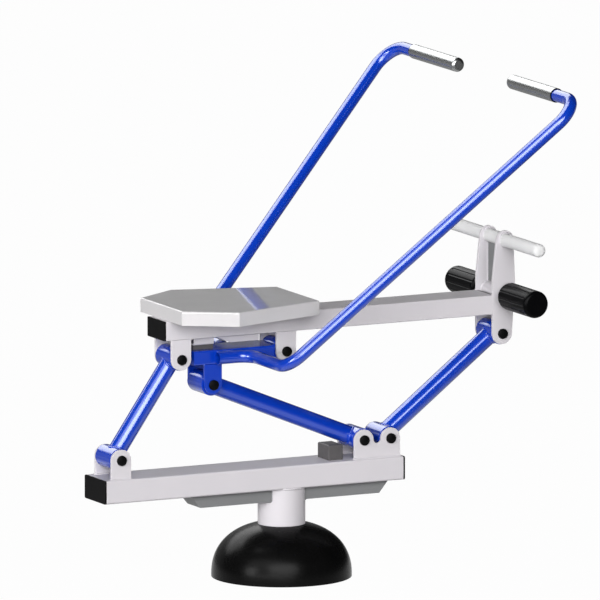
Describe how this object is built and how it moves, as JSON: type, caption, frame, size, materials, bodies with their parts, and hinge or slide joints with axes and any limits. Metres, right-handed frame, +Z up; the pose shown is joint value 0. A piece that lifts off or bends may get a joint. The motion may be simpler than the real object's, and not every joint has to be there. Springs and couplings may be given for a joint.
{
  "type": "outdoor rowing machine",
  "caption": "Park rowing machine on a domed pedestal: two handles pull a lever and push rod that swing the seat beam back and up on parallel links, with a toe bar and foot rollers.",
  "frame": {"origin": "on the ground under the axis of the post, centre of the anchor circle", "axes": "+X forward, from the seat to the footrest; +Y to the rower's left; +Z up"},
  "size_m": [1.1686, 1.069, 1.2655],
  "materials": {
    "silver_paint": "satin",
    "seat_metal": "gloss",
    "blue_paint": "gloss",
    "black_cover": "gloss",
    "black_plastic": "satin",
    "black_rubber": "matt",
    "nylon": "matt",
    "stainless": "fine brushed",
    "zinc_steel": "zinc plated"
  },
  "bodies": {
    "base": {"base_flange": "silver_paint", "base_ribs": "silver_paint", "post": "silver_paint", "base_dome_cover": "black_cover", "lower_beam": "silver_paint", "lower_beam_plugs": "black_plastic", "rear_reinforcement": "silver_paint", "front_reinforcement": "silver_paint", "rear_lower_ears": "silver_paint", "front_lower_plates": "silver_paint", "rod_stop_block": "silver_paint", "rod_stop_pad": "black_rubber", "lower_pivot_sleeves": "zinc_steel", "lower_pivot_bolts": "zinc_steel", "lower_pivot_nuts": "zinc_steel", "lower_bolt_caps": "black_plastic"},
    "rear_link": {"rear_link": "blue_paint", "rear_link_bearings": "zinc_steel"},
    "front_link": {"front_link": "blue_paint", "front_link_bearings": "zinc_steel"},
    "push_rod": {"push_rod": "blue_paint", "push_rod_bearings": "zinc_steel"},
    "seat_frame": {"upper_beam": "silver_paint", "upper_beam_rear_plug": "black_plastic", "upper_reinforcement": "silver_paint", "rear_upper_ears": "silver_paint", "lever_ears": "silver_paint", "seat_pan": "seat_metal", "seat_supports": "seat_metal", "seat_screws": "zinc_steel", "front_plate_left": "silver_paint", "front_plate_right": "silver_paint", "footrest_webs": "silver_paint", "roller_axle_housing": "silver_paint", "roller_axle": "zinc_steel", "roller_spacers": "zinc_steel", "roller_retainers": "zinc_steel", "toe_bar": "silver_paint", "toe_bar_caps": "silver_paint", "lever_stop_block": "silver_paint", "lever_stop_pad": "black_rubber", "upper_pivot_sleeves": "zinc_steel", "upper_pivot_bolts": "zinc_steel", "upper_pivot_nuts": "zinc_steel", "upper_bolt_caps": "black_plastic"},
    "handle_lever": {"lever_arm": "blue_paint", "lever_bearings": "zinc_steel", "clevis_ears": "blue_paint", "handle_left": "blue_paint", "handle_right": "blue_paint", "grip_left": "stainless", "grip_right": "stainless", "clevis_pivot_sleeves": "zinc_steel", "clevis_pivot_bolts": "zinc_steel", "clevis_pivot_nuts": "zinc_steel", "clevis_bolt_caps": "black_plastic"},
    "left_roller": {"foot_roller_left": "black_rubber", "roller_core_left": "nylon"},
    "right_roller": {"foot_roller_right": "black_rubber", "roller_core_right": "nylon"}
  },
  "joints": [
    {"name": "rear_link_pivot", "type": "hinge", "parent": "base", "child": "rear_link", "pos_m": [-0.475, 0, 0.3385], "axis": [0, -1, 0], "range_deg": [0, 15]},
    {"name": "seat_pivot", "type": "hinge", "parent": "rear_link", "child": "seat_frame", "pos_m": [-0.306, 0, 0.5835], "axis": [0, -1, 0], "range_deg": [-12.78, 0]},
    {"name": "front_link_pivot", "type": "hinge", "parent": "base", "child": "front_link", "pos_m": [0.284, 0, 0.3385], "axis": [0, -1, 0], "range_deg": [0, 14.33]},
    {"name": "lever_pivot", "type": "hinge", "parent": "seat_frame", "child": "handle_lever", "pos_m": [-0.0105, 0, 0.5835], "axis": [0, -1, 0], "range_deg": [0, 25.6]},
    {"name": "push_rod_pivot", "type": "hinge", "parent": "base", "child": "push_rod", "pos_m": [0.209, 0, 0.3385], "axis": [0, -1, 0], "range_deg": [0, 5.62]},
    {"name": "left_roller_spin", "type": "hinge", "parent": "seat_frame", "child": "left_roller", "pos_m": [0.6086, 0, 0.683], "axis": [0, 1, 0], "continuous": true},
    {"name": "right_roller_spin", "type": "hinge", "parent": "seat_frame", "child": "right_roller", "pos_m": [0.6086, 0, 0.683], "axis": [0, 1, 0], "continuous": true}
  ],
  "couplings": [
    {"joint": "seat_pivot", "follows": "rear_link_pivot", "ratio": -0.8511},
    {"joint": "front_link_pivot", "follows": "rear_link_pivot", "ratio": 0.9548},
    {"joint": "lever_pivot", "follows": "rear_link_pivot", "ratio": 1.7062},
    {"joint": "push_rod_pivot", "follows": "rear_link_pivot", "ratio": 0.3737}
  ]
}
